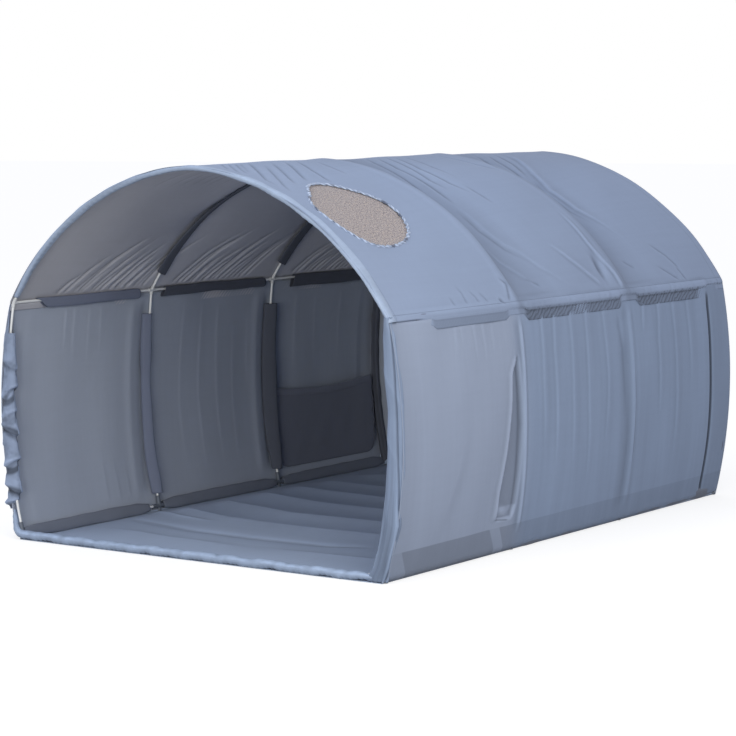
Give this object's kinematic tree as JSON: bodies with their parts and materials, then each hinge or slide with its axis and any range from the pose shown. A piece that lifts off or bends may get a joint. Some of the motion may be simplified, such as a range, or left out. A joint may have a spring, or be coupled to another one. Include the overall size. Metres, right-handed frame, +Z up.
{
  "type": "tarp shelter",
  "caption": "Tunnel-shaped fabric shelter on bowed pole hoops, open at one end, with groundsheet, roof vent and an inner wall pocket.",
  "frame": {"origin": "on the ground, midway between the feet of the front and rear hoops", "axes": "+Z up, +Y from the open front towards the closed rear, +X to the right of someone looking in, the side with the roof vent"},
  "size_m": [1.5416, 2.028, 1.1828],
  "materials": {
    "pole": "smooth white glass-fibre tube",
    "joint": "moulded white nylon",
    "ferrule": "drawn tube",
    "socket": "moulded grey nylon",
    "roof_cloth": "plain-weave polyester",
    "wall_cloth": "plain-weave polyester",
    "floor_cloth": "coated polyester",
    "sleeve_cloth": "plain-weave polyester, doubled and stitched",
    "vent_mesh": "fine speckled beige mesh",
    "binding": "puckered whip-stitched edge",
    "pocket_cloth": "plain-weave polyester, dark",
    "hem_elastic": "gathered elastic hem"
  },
  "bodies": {
    "root": {"front_arch_left": "pole", "front_arch_right": "pole", "second_arch_left": "pole", "second_arch_right": "pole", "third_arch_left": "pole", "third_arch_right": "pole", "rear_arch_left": "pole", "rear_arch_right": "pole", "front_post_left": "pole", "front_post_right": "pole", "second_post_left": "pole", "second_post_right": "pole", "third_post_left": "pole", "third_post_right": "pole", "rear_post_left": "pole", "rear_post_right": "pole", "eave_rod_left_front": "pole", "eave_rod_left_middle": "pole", "eave_rod_left_rear": "pole", "eave_rod_right_front": "pole", "eave_rod_right_middle": "pole", "eave_rod_right_rear": "pole", "floor_rod_left_front": "pole", "floor_rod_left_middle": "pole", "floor_rod_left_rear": "pole", "floor_rod_right_front": "pole", "floor_rod_right_middle": "pole", "floor_rod_right_rear": "pole", "front_sill_rod": "pole", "rear_sill_rod": "pole", "eave_corner_joints": "joint", "eave_cross_joints": "joint", "ridge_ferrules": "ferrule", "floor_corner_sockets": "socket", "floor_tee_sockets": "socket", "front_arch_sleeve": "sleeve_cloth", "second_arch_sleeve": "sleeve_cloth", "third_arch_sleeve": "sleeve_cloth", "rear_arch_sleeve": "sleeve_cloth", "post_sleeves": "sleeve_cloth", "eave_sleeves": "sleeve_cloth", "side_sleeves": "sleeve_cloth", "sill_sleeves": "sleeve_cloth", "roof_front": "roof_cloth", "roof_middle": "roof_cloth", "roof_rear": "roof_cloth", "wall_left_front": "wall_cloth", "wall_left_middle": "wall_cloth", "wall_left_rear": "wall_cloth", "wall_right_front": "wall_cloth", "wall_right_middle": "wall_cloth", "wall_right_rear": "wall_cloth", "rear_wall": "wall_cloth", "groundsheet": "floor_cloth", "vent_mesh": "vent_mesh", "vent_rim": "binding", "pocket_gusset": "pocket_cloth"},
    "pocket": {"pocket_front": "pocket_cloth", "pocket_hem": "hem_elastic"}
  },
  "joints": [
    {"name": "pocket_mouth", "type": "hinge", "parent": "root", "child": "pocket", "pos_m": [-0.71636, 0.66667, 0.0615], "axis": [0, 1, 0], "range_deg": [-3, 14], "stiffness_Nm_per_rad": 1}
  ]
}
